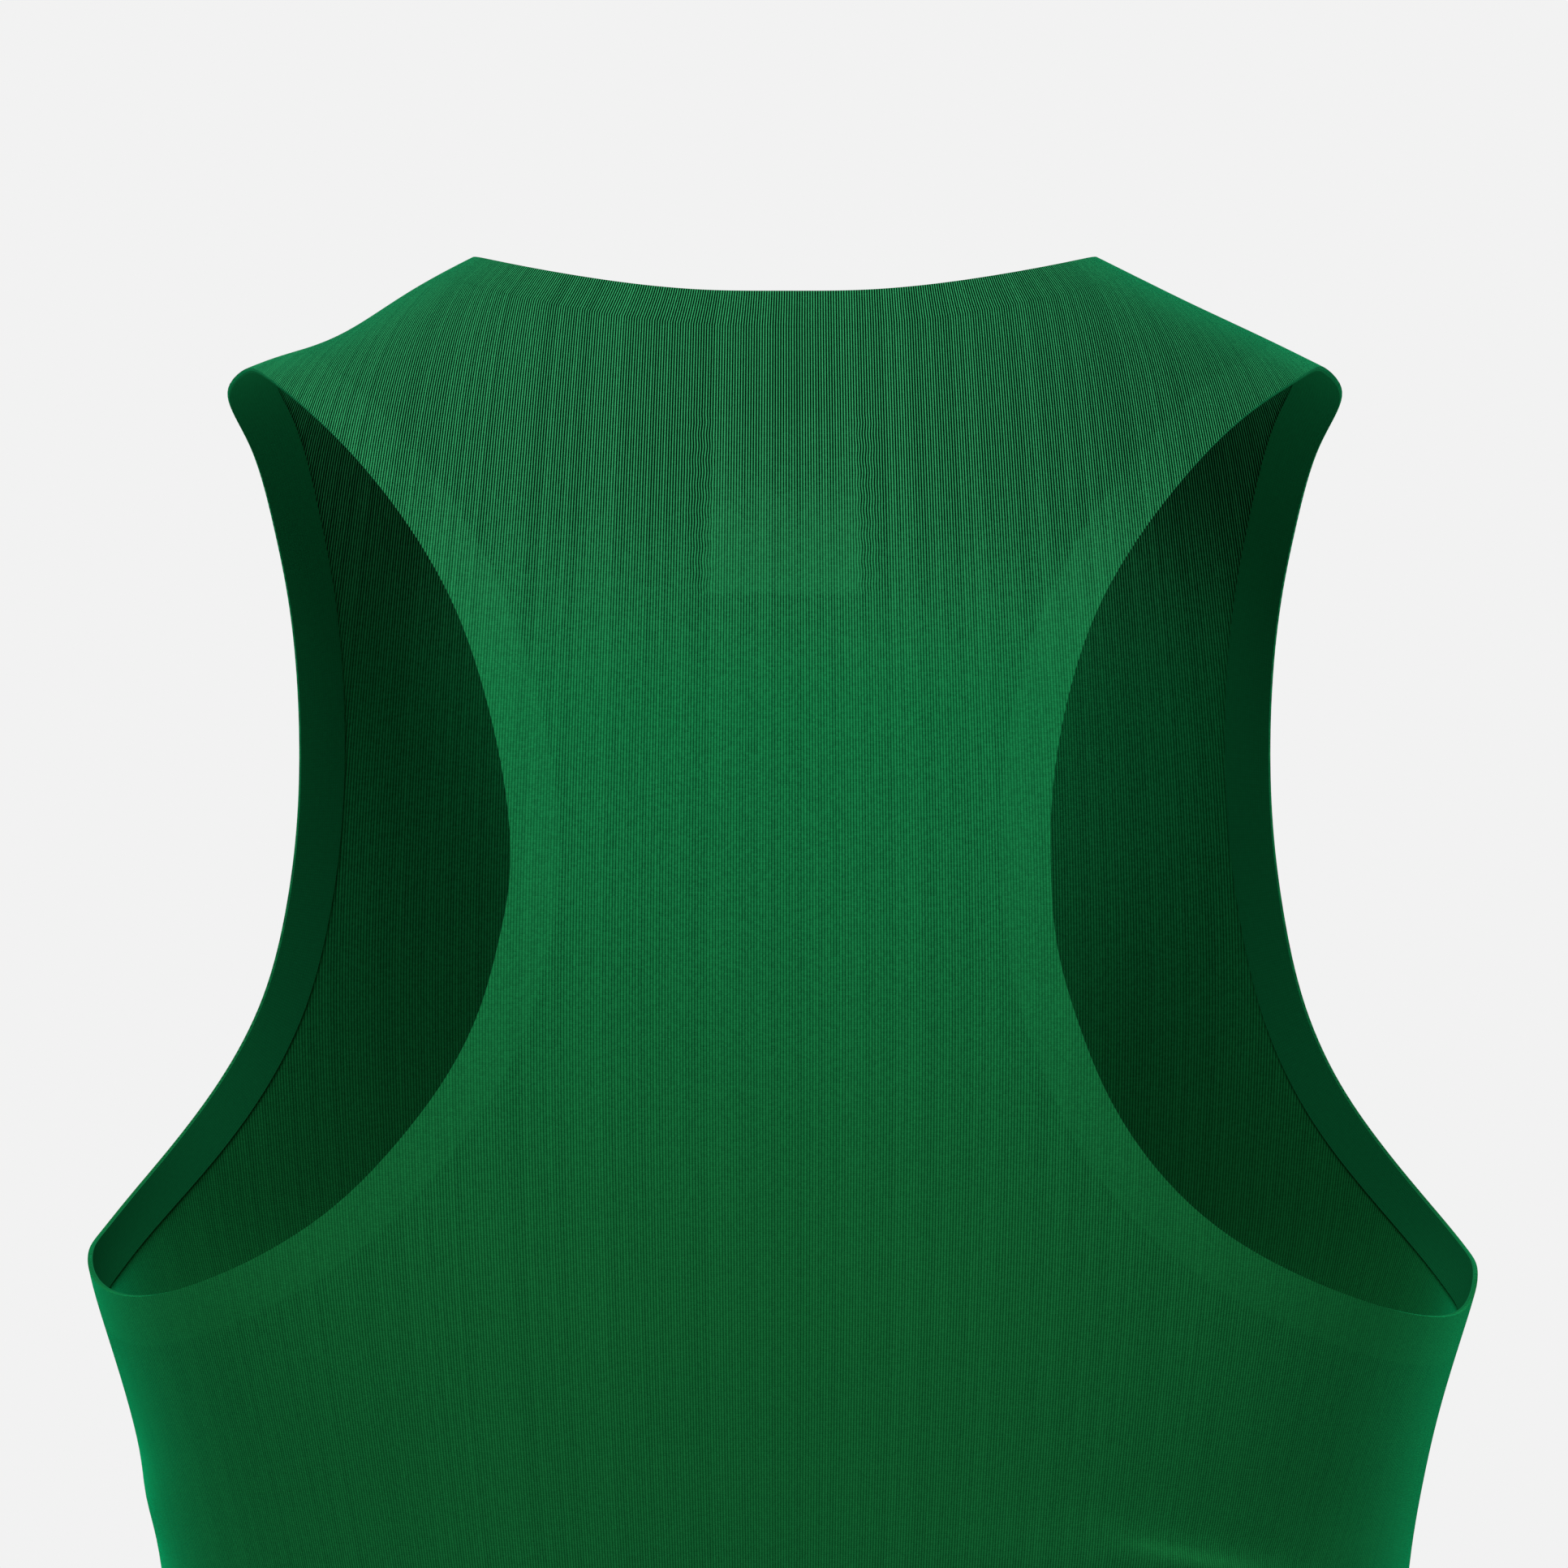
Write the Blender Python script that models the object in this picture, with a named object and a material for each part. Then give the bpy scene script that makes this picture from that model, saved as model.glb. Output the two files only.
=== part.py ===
"""A sleeveless sports top with a racerback, in the form it has when worn, its edges cut raw and bonded.

The back faces +Y and the wearer's left is +X. The origin is the middle of the neck opening, at the
height where the neck edge crosses the shoulders. The tables are in millimetres, and MM turns a
finished point into metres.
"""

import math

import bmesh
import bpy
import numpy as np

MM = 0.001

# The cloth and the facing strips that are bonded inside its edges
WALL = 1.2
STRIP_WALL = 1.0
GAP = 0.3
NECK_STRIP_WIDE = 10.0
ARMHOLE_STRIP_WIDE = 12.0

# Hem height, and how far the shoulder seam lies ahead of the shoulder's ridge
HEM = -680.0
SEAM_FORWARD = 12.0

# The form of the body of the top: rings from the shoulders down to the hem
RINGS = (
    # height, half width, depth of the back, depth of the front, squareness
    (12, 51, 40, 38, 2.05),
    (0, 76, 50, 46, 2.05),
    (-10, 96.2, 56.5, 53, 2.05),
    (-28, 133.4, 67, 64, 2.1),
    (-40, 152, 74, 70, 2.15),
    (-60, 166.5, 84, 80, 2.2),
    (-80, 171.5, 91, 88, 2.25),
    (-100, 173, 97, 95, 2.3),
    (-140, 173, 105, 107, 2.35),
    (-180, 172.5, 109.5, 114.5, 2.4),
    (-220, 170.5, 111.5, 118, 2.4),
    (-243, 169, 111.5, 118.5, 2.4),
    (-260, 164.4, 111, 118, 2.4),
    (-280, 158.4, 109, 116.5, 2.4),
    (-300, 154, 106, 114, 2.35),
    (-318, 151, 102.5, 111.5, 2.35),
    (-340, 148.5, 98, 109, 2.35),
    (-380, 143, 90, 104.5, 2.3),
    (-420, 141, 85.5, 102, 2.3),
    (-460, 144, 88, 102, 2.3),
    (-500, 150.5, 96, 103.5, 2.3),
    (-550, 160, 106, 105, 2.35),
    (-600, 166, 111, 104.5, 2.35),
    (-640, 168, 111, 103, 2.35),
    (-680, 168.5, 109, 101, 2.35),
)

# The armhole edge of each side: from the side, up the back, over the shoulder, down the front. The
# worn top hangs a little unevenly. A side row lies where the ring is widest, and has no half width.
ARMHOLE = (
    # view, left half width, left height, right half width, right height
    ("side", 0, -242, 0, -246.8),
    ("back", 166.1, -247.3, 165.9, -252.1),
    ("back", 152, -249.6, 152, -254.4),
    ("back", 138.2, -245.5, 137.8, -250.3),
    ("back", 123.7, -238.8, 122, -243.8),
    ("back", 104.6, -225.8, 100.8, -231.2),
    ("back", 89.7, -210.3, 85.4, -215.8),
    ("back", 78.6, -195, 75.2, -199.6),
    ("back", 71.3, -179.8, 68.5, -182.9),
    ("back", 67.1, -164.6, 63.9, -166.1),
    ("back", 64.5, -149.4, 62.4, -149.6),
    ("back", 65, -134, 62.5, -134),
    ("back", 69.3, -111.2, 65.7, -111.1),
    ("back", 76.9, -88.2, 73.1, -87.9),
    ("back", 85, -72.8, 81.5, -72.6),
    ("back", 96, -57.2, 92.8, -57.2),
    ("back", 110.3, -41.5, 107.8, -41.4),
    ("back", 122.5, -30.7, 122.5, -30.7),
    ("side", 0, -27.2, 0, -27.2),
    ("front", 135.8, -31, 135.8, -31),
    ("front", 131.5, -45, 131.5, -45),
    ("front", 126.5, -64, 126.5, -64),
    ("front", 122.5, -88, 122.5, -88),
    ("front", 121, -115, 121, -115),
    ("front", 121.8, -138, 121.8, -138),
    ("front", 124.8, -160, 124.8, -161.1),
    ("front", 130, -180, 130, -183.2),
    ("front", 138, -197, 138, -201.6),
    ("front", 148, -212, 148, -216.8),
    ("front", 159, -226, 159, -230.8),
    ("front", 167, -236.5, 167, -241.3),
)

# The left half of the neck edge: from the centre back, over the shoulder, to the centre front
NECK = (
    # view, half width, height
    ("back", 0, -10.2),
    ("back", 17, -10),
    ("back", 32, -8.8),
    ("back", 47, -6.6),
    ("back", 62, -3.6),
    ("back", 71, -1.3),
    ("side", 0, 0),
    ("front", 74.5, -4),
    ("front", 72, -14),
    ("front", 69, -28),
    ("front", 65, -44),
    ("front", 58, -61),
    ("front", 46.5, -77),
    ("front", 31, -89),
    ("front", 15.5, -95.5),
    ("front", 0, -97.5),
)

# Points in the middle of the two kinds of hole, from which the cloth lies outwards
ARMHOLE_MIDDLE = (125, 0, -140)
NECK_MIDDLE = (0, -20, -30)

# The left shoulder's dip: its middle as x and y, its half sizes, and the heights where it fades in
SHOULDER_DIP = 3.3
SHOULDER_DIP_PLACE = (109, 0, 15, 30)
SHOULDER_DIP_FADE = (-70, -40)

# Soft folds that cross the waist: a ridge stands out, a trough has a negative rise
FOLDS = (
    # turn from the centre back, half spread, height, half tall, rise, slope along the turn
    (-52, 24, -316, 10, 2.2, 4),
    (-46, 26, -337, 11, -1.6, 5),
    (88, 16, -300, 8, 0.8, 0),
    (8, 44, -376, 13, 2.8, -6),
    (-4, 50, -402, 12, -2.0, -4),
    (12, 52, -427, 14, 2.6, 5),
    (70, 22, -398, 15, -1.8, 10),
    (76, 20, -424, 13, 2.2, 12),
    (-78, 22, -388, 14, 2.4, -10),
    (-84, 20, -417, 13, -1.8, -8),
    (162, 34, -408, 15, 2.0, 8),
    (206, 36, -436, 14, 2.2, -9),
)

# How finely a panel is divided
LOW_ROWS = 25
ARMHOLE_ROWS = 20
NECK_COLUMNS = 10
STRAP_PLACES = (0.196, 0.42, 0.63, 0.82, 1.0)
NECK_SHARE = 0.62
CORNER_STEP = 8.0

# The height at which a panel's centre meets the armhole's lowest row, and how its rows ease off
CENTRE_LINES = {"back": (-330.0, 1.15), "front": (-300.0, 1.1)}
ROW_BOW = 2.6

# The rows that bend round the neck edge, how far each turns earlier, and their spacing at both ends
BEND_ROWS = 8
TURN_PACE = 12.0
CENTRE_STEP = 8.5
TURN_STEP = 4.5

# Small steps that slopes and directions are measured over, and the search for the shoulder seam
TURN_PROBE = 0.002
HEIGHT_PROBE = 0.2
WAY_PROBE = 0.5
SEAM_REACH = 40
SEAM_HALVINGS = 40
WRAPPED_ROWS = 3
MERGE = 0.0001

CLOTH_COLOUR = (0.0052, 0.128, 0.0405, 1)
STRIP_COLOUR = (0.0060, 0.142, 0.0460, 1)
CLOTH_ROUGHNESS = 0.62


class Spline:
    """A natural cubic spline through values at rising places."""

    def __init__(self, places, values):
        self.places = np.asarray(places, float)
        self.values = np.asarray(values, float)
        gaps = np.diff(self.places)
        rises = np.diff(self.values) / gaps
        count = len(self.places)
        system = np.eye(count)
        wanted = np.zeros(count)
        for k in range(1, count - 1):
            system[k, k - 1:k + 2] = gaps[k - 1], 2 * (gaps[k - 1] + gaps[k]), gaps[k]
            wanted[k] = 6 * (rises[k] - rises[k - 1])
        self.bends = np.linalg.solve(system, wanted)

    def __call__(self, place):
        last = len(self.places) - 2
        k = np.clip(np.searchsorted(self.places, place) - 1, 0, last)
        gap = self.places[k + 1] - self.places[k]
        after = (place - self.places[k]) / gap
        before = 1 - after
        line = before * self.values[k] + after * self.values[k + 1]
        bend = (before ** 3 - before) * self.bends[k] + (after ** 3 - after) * self.bends[k + 1]
        return line + gap ** 2 / 6 * bend


def ring_columns():
    rows = np.array(RINGS[::-1], float)
    return [Spline(rows[:, 0], rows[:, column]) for column in range(1, rows.shape[1])]


HALF_WIDTH, BACK_DEPTH, FRONT_DEPTH, SQUARENESS = ring_columns()


def ease(value, start, end):
    """Runs smoothly from 0 at start to 1 at end."""
    share = np.clip((value - start) / (end - start), 0, 1)
    return share * share * (3 - 2 * share)


def hump(value, middle, half):
    return np.exp(-((value - middle) / half) ** 2)


def fold_rise(turn, height):
    """How far the folds move the cloth outwards at a turn and height."""
    rise = 0
    for middle, spread, level, tall, size, slope in FOLDS:
        away = (np.degrees(turn) - middle + 180) % 360 - 180
        rise = rise + size * hump(away, 0, spread) * hump(height, level + slope * away / spread, tall)
    return rise


def place(turn, height):
    """A point of the cloth's outer face. The turn is 0 at the centre back and grows towards +X."""
    across, along = np.sin(turn), np.cos(turn)
    depth = np.where(along > 0, BACK_DEPTH(height), FRONT_DEPTH(height))
    square = SQUARENESS(height)
    sides = np.abs(across / HALF_WIDTH(height)) ** square + np.abs(along / depth) ** square
    reach = sides ** (-1 / square) + fold_rise(turn, height)
    x, y = reach * across, reach * along
    middle_x, middle_y, half_x, half_y = SHOULDER_DIP_PLACE
    shoulder = hump(x, middle_x, half_x) * hump(y, middle_y, half_y)
    dip = SHOULDER_DIP * shoulder * ease(height, *SHOULDER_DIP_FADE)
    return np.stack((x, y, height - dip), axis=-1)


def slopes(turn, height):
    """How a point moves for each radian of turn, and for each millimetre of height."""
    by_turn = place(turn + TURN_PROBE, height) - place(turn - TURN_PROBE, height)
    by_height = place(turn, height + HEIGHT_PROBE) - place(turn, height - HEIGHT_PROBE)
    return by_turn / (2 * TURN_PROBE), by_height / (2 * HEIGHT_PROBE)


def facing(turn, height):
    """The outward direction of the cloth. Turn grows clockwise, as seen from above."""
    by_turn, by_height = slopes(turn, height)
    normal = np.cross(by_height, by_turn)
    return normal / np.linalg.norm(normal)


def turn_at(view, half_width, height):
    """The turn of a point that is given by its half width as seen from the back or the front."""
    if view == "side":
        return math.pi / 2
    depth = BACK_DEPTH(height) if view == "back" else -FRONT_DEPTH(height)
    square = SQUARENESS(height)
    along = depth * (1 - (half_width / HALF_WIDTH(height)) ** square) ** (1 / square)
    return math.atan2(half_width, along)


class Edge:
    """A cut edge as turn and height along its length, with the middle of the hole that it goes round."""

    def __init__(self, turns, heights, middle):
        points = np.array([place(turn, height) for turn, height in zip(turns, heights)])
        steps = np.linalg.norm(np.diff(points, axis=0), axis=1)
        self.middle = np.array(middle, float)
        self.ways = np.concatenate(([0], np.cumsum(steps)))
        self.turn = Spline(self.ways, turns)
        self.height = Spline(self.ways, heights)

    def at(self, way):
        return float(self.turn(way)), float(self.height(way))

    def inland(self, way, distance):
        """The turn and height at a distance into the cloth, square to the edge and away from the hole."""
        turn, height = self.at(way)
        ahead, behind = place(*self.at(way + WAY_PROBE)), place(*self.at(way - WAY_PROBE))
        across = np.cross(facing(turn, height), ahead - behind)
        across = across / np.linalg.norm(across)
        if across @ (place(turn, height) - self.middle) < 0:
            across = -across
        moves = np.linalg.lstsq(np.stack(slopes(turn, height), axis=1), across * distance, rcond=None)[0]
        return turn + moves[0], height + moves[1]

    def seam_way(self, low, high):
        """Where the edge crosses the shoulder seam, between two ways along it."""
        for _ in range(SEAM_HALVINGS):
            middle = (low + high) / 2
            if place(*self.at(middle))[1] > -SEAM_FORWARD:
                low = middle
            else:
                high = middle
        return low


def armhole_edge(side):
    """The armhole, closed: three rows are repeated at both ends so that it runs on smoothly."""
    rows = [(row[0], *(row[1:3] if side > 0 else row[3:5])) for row in ARMHOLE]
    turns = [side * turn_at(*row) for row in rows]
    heights = [row[2] for row in rows]
    wrap = WRAPPED_ROWS
    closed_turns = turns[-wrap:] + turns + turns[:wrap + 1]
    closed_heights = heights[-wrap:] + heights + heights[:wrap + 1]
    edge = Edge(closed_turns, closed_heights, (side * ARMHOLE_MIDDLE[0], *ARMHOLE_MIDDLE[1:]))
    edge.start, edge.end = edge.ways[wrap], edge.ways[-wrap - 1]
    shoulder = edge.ways[wrap + [row[0] for row in rows].index("side", 1)]
    edge.seam = edge.seam_way(shoulder, shoulder + SEAM_REACH)
    return edge


def neck_edge(side):
    """Half of the neck edge, run on past both centres by its own mirror image."""
    turns = [turn_at(*row) for row in NECK]
    heights = [row[2] for row in NECK]
    wrap = WRAPPED_ROWS
    before = [-turn for turn in turns[wrap:0:-1]]
    after = [2 * math.pi - turn for turn in turns[-2:-2 - wrap:-1]]
    turns = [side * turn for turn in before + turns + after]
    edge = Edge(turns, heights[wrap:0:-1] + heights + heights[-2:-2 - wrap:-1], NECK_MIDDLE)
    edge.start, edge.end = edge.ways[wrap], edge.ways[-wrap - 1]
    shoulder = edge.ways[wrap + [row[0] for row in NECK].index("side")]
    edge.seam = edge.seam_way(shoulder, shoulder + SEAM_REACH)
    return edge


ARMHOLES = {side: armhole_edge(side) for side in (1, -1)}
NECKS = {side: neck_edge(side) for side in (1, -1)}


def panel_angle(view, turn):
    """An angle that is 0 at the panel's own centre and grows towards +X, from a turn."""
    if view == "back":
        return turn
    return math.pi - turn if turn > 0 else -math.pi - turn


def panel_turn(view, angle):
    return angle if view == "back" else math.pi - angle


def armhole_points(view, side):
    """The armhole's rows as pairs of (edge, strip line), each an angle and a height, from the side up.

    The strip line is where the facing strip ends, inland of the edge.
    """
    edge = ARMHOLES[side]
    bottom = edge.start if view == "back" else edge.end
    forward = CORNER_STEP if view == "back" else -CORNER_STEP
    points = []
    for row, way in enumerate(np.linspace(bottom, edge.seam, ARMHOLE_ROWS + 1)):
        turn, height = edge.at(way)
        strip_turn, strip_height = edge.inland(way if row else way + forward, ARMHOLE_STRIP_WIDE)
        strip_point = (panel_angle(view, strip_turn), strip_height)
        points.append(((panel_angle(view, turn), height), strip_point))
    tip = points[-1][0]
    points[-1] = (tip, seam_point(view, side, tip, ARMHOLE_STRIP_WIDE))
    return points


def mix(one, other, share):
    """The point of angle and height that lies a share of the way from one to the other."""
    return tuple(a + (b - a) * share for a, b in zip(one, other))


def seam_point(view, side, tip, distance):
    """A point of the shoulder seam at a distance from its armhole end."""
    neck = neck_point(view, side, 1)
    ends = [place(panel_turn(view, angle), height) for angle, height in (tip, neck)]
    return mix(tip, neck, distance / np.linalg.norm(ends[1] - ends[0]))


def neck_point(view, side, way, distance=0.0):
    """Angle and height at the neck edge, or inland of it. The way is 0 at the centre, 1 at the seam."""
    edge = NECKS[side]
    centre = edge.start if view == "back" else edge.end
    turn, height = edge.inland(centre + (edge.seam - centre) * way, distance)
    return (panel_angle(view, turn) if way > 0 else 0.0), height


def neck_row(view, side, rows_down, centre, strip):
    """One row from the panel's centre to the facing strip, at a number of rows down from the top.

    The first rows run beside the neck edge and then turn to cross the strap. Lower ones are plain bows.
    """
    bend = 1 - (rows_down / BEND_ROWS) ** 2 if rows_down < BEND_ROWS else 0.0
    length = abs(NECKS[side].seam - (NECKS[side].start if view == "back" else NECKS[side].end))
    reach = 1 - rows_down * TURN_PACE / length
    shares = [NECK_SHARE * column / NECK_COLUMNS for column in range(NECK_COLUMNS + 1)]
    shares += [NECK_SHARE + (1 - NECK_SHARE) * share for share in STRAP_PLACES]
    plain = [(strip[0] * share, mix(centre, strip, share ** ROW_BOW)[1]) for share in shares]
    if rows_down >= BEND_ROWS:
        return plain
    bent = []
    for column in range(NECK_COLUMNS + 1):
        way = column / NECK_COLUMNS
        step = CENTRE_STEP + (TURN_STEP - CENTRE_STEP) * way ** 2
        inland = NECK_STRIP_WIDE * min(rows_down, 1) + max(rows_down - 1, 0) * step
        bent.append(neck_point(view, side, way * reach, inland))
    bent += [mix(bent[-1], strip, share) for share in STRAP_PLACES]
    return bent if rows_down < 2 else [mix(*pair, bend) for pair in zip(plain, bent)]


def armhole_rows(view, side):
    """Rows beside the armhole, from the side's corner up, each as points out from the panel's centre.

    The facing strips' edges are lines of the net: the row below the neck edge, and the column
    beside the armhole.
    """
    top = neck_point(view, side, 0)[1]
    low, ease_off = CENTRE_LINES[view]
    rows = []
    for row, (edge, strip) in enumerate(armhole_points(view, side)):
        rows_down = ARMHOLE_ROWS - row
        centre = (0.0, top + (low - top) * (rows_down / ARMHOLE_ROWS) ** ease_off)
        rows.append(neck_row(view, side, rows_down, centre, strip) + [edge])
    return rows


def panel_half(view, side):
    """Angles and heights of half a panel: rows up from the hem, columns out from the centre.

    The last row below the armhole meets the side seam where the facing strip ends.
    """
    upper = armhole_rows(view, side)
    first = upper[0]
    columns = len(first) - 1
    hem = [(side * math.pi / 2 * column / columns, HEM) for column in range(columns + 1)]
    top_share = 1 - ARMHOLE_STRIP_WIDE / (first[-1][1] - HEM)
    shares = [top_share * row / (LOW_ROWS - 1) for row in range(LOW_ROWS)]
    return [[mix(low, high, share) for low, high in zip(hem, first)] for share in shares] + upper


def on_cloth(view, angle, height, depth=0.0):
    """A point at a depth under the cloth's outer face, and the outward direction there."""
    turn = panel_turn(view, angle)
    outward = facing(turn, height)
    return place(turn, height) - outward * depth, outward


def panel_rows(view):
    """A panel's outer face row by row, each from left to right as it is looked at."""
    first, second = (1, -1) if view == "back" else (-1, 1)
    aside = np.array((0, GAP / 2 if view == "back" else -GAP / 2, 0))
    rows = []
    for left, right in zip(HALVES[view, first], HALVES[view, second]):
        cloth = [on_cloth(view, *spot) for spot in left[::-1] + right[1:]]
        rows.append([(point + aside, outward) for point, outward in cloth])
    return rows


def add_wall(name, rows, thickness, colour):
    """A closed wall: its outer face runs through the rows of (point, direction), and it lies inside them."""
    work = bmesh.new()
    bmesh.ops.create_grid(work, x_segments=len(rows[0]) - 1, y_segments=len(rows) - 1, size=1)
    work.verts.ensure_lookup_table()
    spots = [spot for row in rows for spot in row]
    for vert, (point, _) in zip(work.verts, spots):
        vert.co = point * MM
    inner = {tuple(vert.co): (point - outward * thickness) * MM
             for vert, (point, outward) in zip(work.verts, spots)}
    bmesh.ops.remove_doubles(work, verts=work.verts, dist=MERGE * MM)
    bmesh.ops.triangulate(work, faces=work.faces, quad_method="SHORT_EDGE")
    copied = bmesh.ops.extrude_face_region(work, geom=work.faces[:], use_keep_orig=True)
    for vert in (item for item in copied["geom"] if isinstance(item, bmesh.types.BMVert)):
        vert.co = inner[tuple(vert.co)]
    bmesh.ops.recalc_face_normals(work, faces=work.faces)
    mesh = bpy.data.meshes.new(name)
    work.to_mesh(mesh)
    work.free()
    mesh.materials.append(material(name, colour))
    thing = bpy.data.objects.new(name, mesh)
    bpy.context.collection.objects.link(thing)


def material(name, colour):
    finish = bpy.data.materials.new(name)
    finish.use_nodes = True
    shader = finish.node_tree.nodes["Principled BSDF"]
    shader.inputs["Base Color"].default_value = colour
    shader.inputs["Roughness"].default_value = CLOTH_ROUGHNESS
    shader.inputs["Metallic"].default_value = 0.0
    return finish


def strip_row(view, pair):
    """Two points across a facing strip: the panel's own, moved in under its inner face."""
    return [on_cloth(view, *spot, WALL + GAP) for spot in pair]


def armhole_strip(name, side):
    """Round one armhole: from the side seam up the back, over the shoulder and down the front."""
    rows = []
    for view in ("back", "front"):
        half = HALVES[view, side]
        pairs = [(half[LOW_ROWS][-1], half[LOW_ROWS - 1][-1])]
        pairs += [(line[-1], line[-2]) for line in half[LOW_ROWS:]]
        part = [strip_row(view, pair) for pair in pairs]
        rows += part if view == "back" else part[-2::-1]
    rows[-1] = rows[0]
    if side < 0:
        rows.reverse()
    add_wall(name, rows, STRIP_WALL, STRIP_COLOUR)


def neck_strip(name):
    """Round the neck, from the front's centre over the left shoulder, and back over the right one."""
    rows = []
    for view, side in (("front", 1), ("back", 1), ("back", -1), ("front", -1)):
        half = HALVES[view, side]
        pairs = list(zip(half[-1][:NECK_COLUMNS + 1], half[-2][:NECK_COLUMNS + 1]))
        pairs.append((half[-1][NECK_COLUMNS], half[-1][NECK_COLUMNS + 1]))
        part = [strip_row(view, pair) for pair in pairs]
        rows += part[:-1] if (view, side) in (("front", 1), ("back", -1)) else part[::-1]
    rows[-1] = rows[0]
    add_wall(name, rows, STRIP_WALL, STRIP_COLOUR)


def clear_scene():
    for thing in list(bpy.data.objects):
        bpy.data.objects.remove(thing, do_unlink=True)


HALVES = {(view, side): panel_half(view, side) for view in ("back", "front") for side in (1, -1)}


def main():
    clear_scene()
    for view in ("back", "front"):
        add_wall(view + "_panel", panel_rows(view), WALL, CLOTH_COLOUR)
    neck_strip("neck_tape")
    armhole_strip("armhole_tape_left", 1)
    armhole_strip("armhole_tape_right", -1)


main()
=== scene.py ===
"""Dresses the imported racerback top: finer cloth on the same form, its knit, facing strips and light.

The back faces +Y and the wearer's left is +X. Sizes are in millimetres until a point is finished. Turns
are in radians, apart from those of the folds.
"""

import math

import bmesh
import bpy
import numpy as np
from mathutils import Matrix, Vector
from mathutils.kdtree import KDTree


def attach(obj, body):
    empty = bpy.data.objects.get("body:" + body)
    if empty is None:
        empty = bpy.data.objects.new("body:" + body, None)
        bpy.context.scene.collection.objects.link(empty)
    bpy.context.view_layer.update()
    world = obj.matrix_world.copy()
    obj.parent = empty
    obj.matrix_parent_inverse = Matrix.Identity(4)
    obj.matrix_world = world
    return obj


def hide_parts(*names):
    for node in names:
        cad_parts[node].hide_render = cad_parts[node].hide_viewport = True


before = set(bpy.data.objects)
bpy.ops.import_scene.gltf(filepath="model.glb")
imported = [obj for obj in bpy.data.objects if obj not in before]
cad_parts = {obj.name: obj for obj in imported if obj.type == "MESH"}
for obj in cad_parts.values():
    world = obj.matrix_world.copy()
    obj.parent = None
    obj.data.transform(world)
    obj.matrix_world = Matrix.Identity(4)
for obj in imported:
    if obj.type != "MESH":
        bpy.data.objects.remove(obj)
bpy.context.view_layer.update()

MM = 0.001

# The cloth, the strips bonded inside its cut edges, and the small gaps at a bond and beside a seam
CLOTH = 0.75
STRIP = 0.45
BOND = 0.04
BUTT = 0.01
NECK_STRIP_WIDE = 10.0
ARMHOLE_STRIP_WIDE = 12.0

# The hem's height, and how far in front of the shoulders' ridge their seams lie
HEM = -680.0
SEAM_FORWARD = 12.0

# The form of the body of the top, from the shoulders down to the hem
RINGS = (
    # height, half width, depth of the back, depth of the front, squareness
    (12, 51, 40, 38, 2.05),
    (0, 76, 50, 46, 2.05),
    (-10, 96.2, 56.5, 53, 2.05),
    (-28, 133.4, 67, 64, 2.1),
    (-40, 152, 74, 70, 2.15),
    (-60, 166.5, 84, 80, 2.2),
    (-80, 171.5, 91, 88, 2.25),
    (-100, 173, 97, 95, 2.3),
    (-140, 173, 105, 107, 2.35),
    (-180, 172.5, 109.5, 114.5, 2.4),
    (-220, 170.5, 111.5, 118, 2.4),
    (-243, 169, 111.5, 118.5, 2.4),
    (-260, 164.4, 111, 118, 2.4),
    (-280, 158.4, 109, 116.5, 2.4),
    (-300, 154, 106, 114, 2.35),
    (-318, 151, 102.5, 111.5, 2.35),
    (-340, 148.5, 98, 109, 2.35),
    (-380, 143, 90, 104.5, 2.3),
    (-420, 141, 85.5, 102, 2.3),
    (-460, 144, 88, 102, 2.3),
    (-500, 150.5, 96, 103.5, 2.3),
    (-550, 160, 106, 105, 2.35),
    (-600, 166, 111, 104.5, 2.35),
    (-640, 168, 111, 103, 2.35),
    (-680, 168.5, 109, 101, 2.35),
)

# The armhole edge of each side: from the side, up the back, over the shoulder, down the front. The
# worn top hangs a little unevenly. A side row lies where the ring is widest, and has no half width.
ARMHOLE = (
    # view, left half width, left height, right half width, right height
    ("side", 0, -242, 0, -246.8),
    ("back", 166.1, -247.3, 165.9, -252.1),
    ("back", 152, -249.6, 152, -254.4),
    ("back", 138.2, -245.5, 137.8, -250.3),
    ("back", 123.7, -238.8, 122, -243.8),
    ("back", 104.6, -225.8, 100.8, -231.2),
    ("back", 89.7, -210.3, 85.4, -215.8),
    ("back", 78.6, -195, 75.2, -199.6),
    ("back", 71.3, -179.8, 68.5, -182.9),
    ("back", 67.1, -164.6, 63.9, -166.1),
    ("back", 64.5, -149.4, 62.4, -149.6),
    ("back", 65, -134, 62.5, -134),
    ("back", 69.3, -111.2, 65.7, -111.1),
    ("back", 76.9, -88.2, 73.1, -87.9),
    ("back", 85, -72.8, 81.5, -72.6),
    ("back", 96, -57.2, 92.8, -57.2),
    ("back", 110.3, -41.5, 107.8, -41.4),
    ("back", 122.5, -30.7, 122.5, -30.7),
    ("side", 0, -27.2, 0, -27.2),
    ("front", 135.8, -31, 135.8, -31),
    ("front", 131.5, -45, 131.5, -45),
    ("front", 126.5, -64, 126.5, -64),
    ("front", 122.5, -88, 122.5, -88),
    ("front", 121, -115, 121, -115),
    ("front", 121.8, -138, 121.8, -138),
    ("front", 124.8, -160, 124.8, -161.1),
    ("front", 130, -180, 130, -183.2),
    ("front", 138, -197, 138, -201.6),
    ("front", 148, -212, 148, -216.8),
    ("front", 159, -226, 159, -230.8),
    ("front", 167, -236.5, 167, -241.3),
)

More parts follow.
